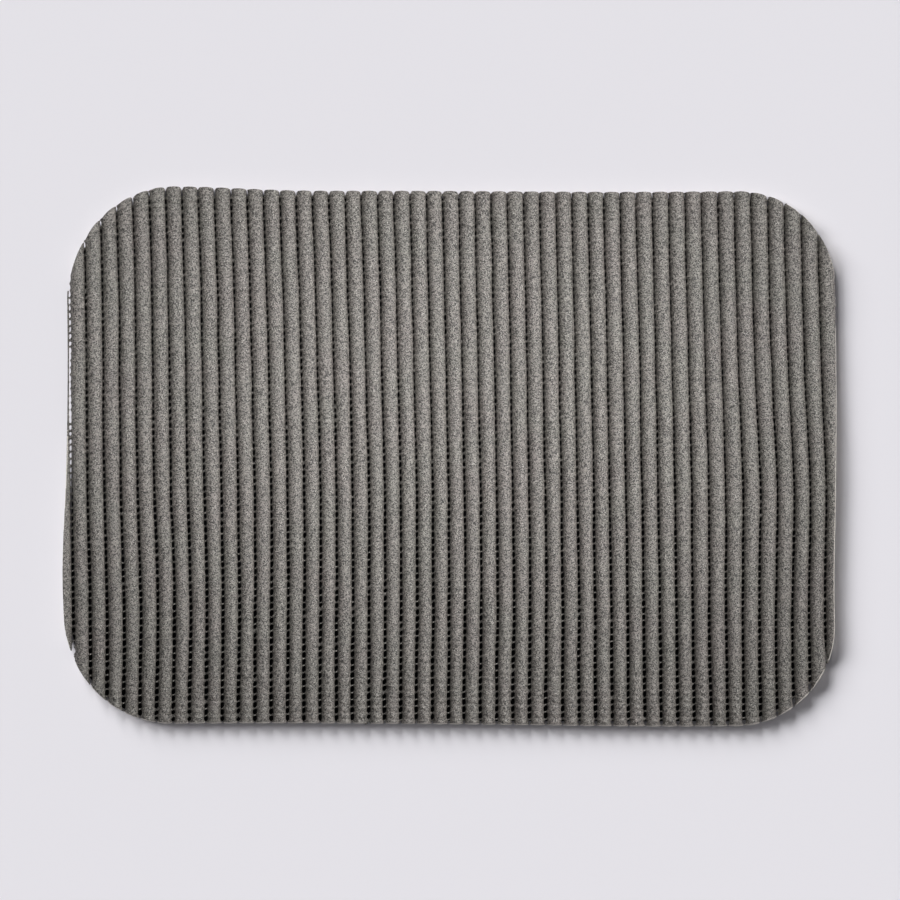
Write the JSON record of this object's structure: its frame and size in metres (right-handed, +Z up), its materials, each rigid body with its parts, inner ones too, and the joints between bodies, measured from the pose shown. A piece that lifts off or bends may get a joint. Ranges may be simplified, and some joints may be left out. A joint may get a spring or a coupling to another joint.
{
  "type": "anti-fatigue mat",
  "caption": "Rectangular ribbed foam mat with rounded corners; parallel soft foam ribs on an open yarn scrim, with rows of small holes between the ribs, to stand on.",
  "frame": {"origin": "centre of the underside, on the floor", "axes": "+X along the mat's length, across the ribs; +Y along its width, along the ribs; +Z up"},
  "size_m": [0.65, 0.45, 0.0095],
  "materials": {
    "foam": "matt grey foamed PVC with a fine pebbled skin; fine open cells where it is cut",
    "sleeve_foam": "matt grey foamed PVC, a thin uneven coat around each cross yarn",
    "yarn": "off-white polyester multifilament yarn"
  },
  "bodies": {
    "root": {"foam_rib_01": "foam", "foam_rib_02": "foam", "foam_rib_03": "foam", "foam_rib_04": "foam", "foam_rib_05": "foam", "foam_rib_06": "foam", "foam_rib_07": "foam", "foam_rib_08": "foam", "foam_rib_09": "foam", "foam_rib_10": "foam", "foam_rib_11": "foam", "foam_rib_12": "foam", "foam_rib_13": "foam", "foam_rib_14": "foam", "foam_rib_15": "foam", "foam_rib_16": "foam", "foam_rib_17": "foam", "foam_rib_18": "foam", "foam_rib_19": "foam", "foam_rib_20": "foam", "foam_rib_21": "foam", "foam_rib_22": "foam", "foam_rib_23": "foam", "foam_rib_24": "foam", "foam_rib_25": "foam", "foam_rib_26": "foam", "foam_rib_27": "foam", "foam_rib_28": "foam", "foam_rib_29": "foam", "foam_rib_30": "foam", "foam_rib_31": "foam", "foam_rib_32": "foam", "foam_rib_33": "foam", "foam_rib_34": "foam", "foam_rib_35": "foam", "foam_rib_36": "foam", "foam_rib_37": "foam", "foam_rib_38": "foam", "foam_rib_39": "foam", "foam_rib_40": "foam", "foam_rib_41": "foam", "foam_rib_42": "foam", "foam_rib_43": "foam", "foam_rib_44": "foam", "foam_rib_45": "foam", "foam_rib_46": "foam", "foam_rib_47": "foam", "foam_rib_48": "foam", "weft_sleeves": "sleeve_foam", "weft_yarns": "yarn", "warp_yarns": "yarn"}
  },
  "joints": []
}
